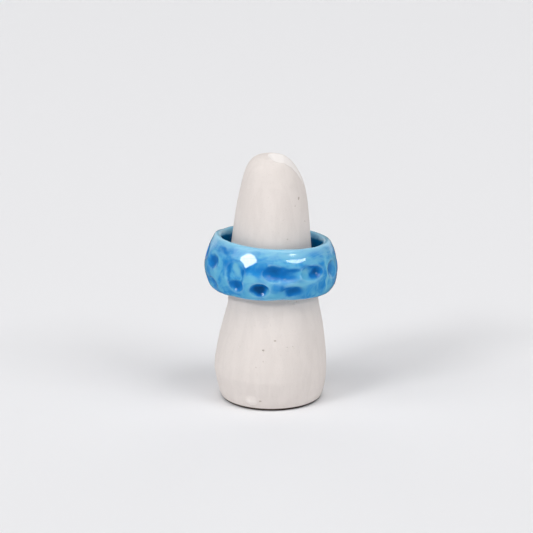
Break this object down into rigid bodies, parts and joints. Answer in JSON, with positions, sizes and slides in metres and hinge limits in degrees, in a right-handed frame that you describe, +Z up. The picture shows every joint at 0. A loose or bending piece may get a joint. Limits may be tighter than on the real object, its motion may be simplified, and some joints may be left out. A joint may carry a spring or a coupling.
{
  "type": "guitar slide",
  "caption": "Short carved ceramic guitar slide, worn as a ring on a finger, resting on a finger-shaped ceramic stand that it lifts off.",
  "frame": {"origin": "middle of the stand's flat sole, on the surface that it stands on", "axes": "+Z up along the stand; -Y is the front; +X to the right seen from the front"},
  "size_m": [0.0268, 0.0268, 0.0498],
  "materials": {
    "stand_bisque": "unglazed, matt, warm white, with a few pinholes",
    "ring_glaze": "glossy sky-blue glaze, deeper blue where it pools in the hollows and paler where it thins over the edges"
  },
  "bodies": {
    "stand": {"finger_stand": "stand_bisque"},
    "ring": {"slide_ring": "ring_glaze"}
  },
  "joints": [
    {"name": "ring_lift", "type": "slide", "parent": "stand", "child": "ring", "axis": [0, 0, 1], "range_m": [0, 0.034]}
  ]
}
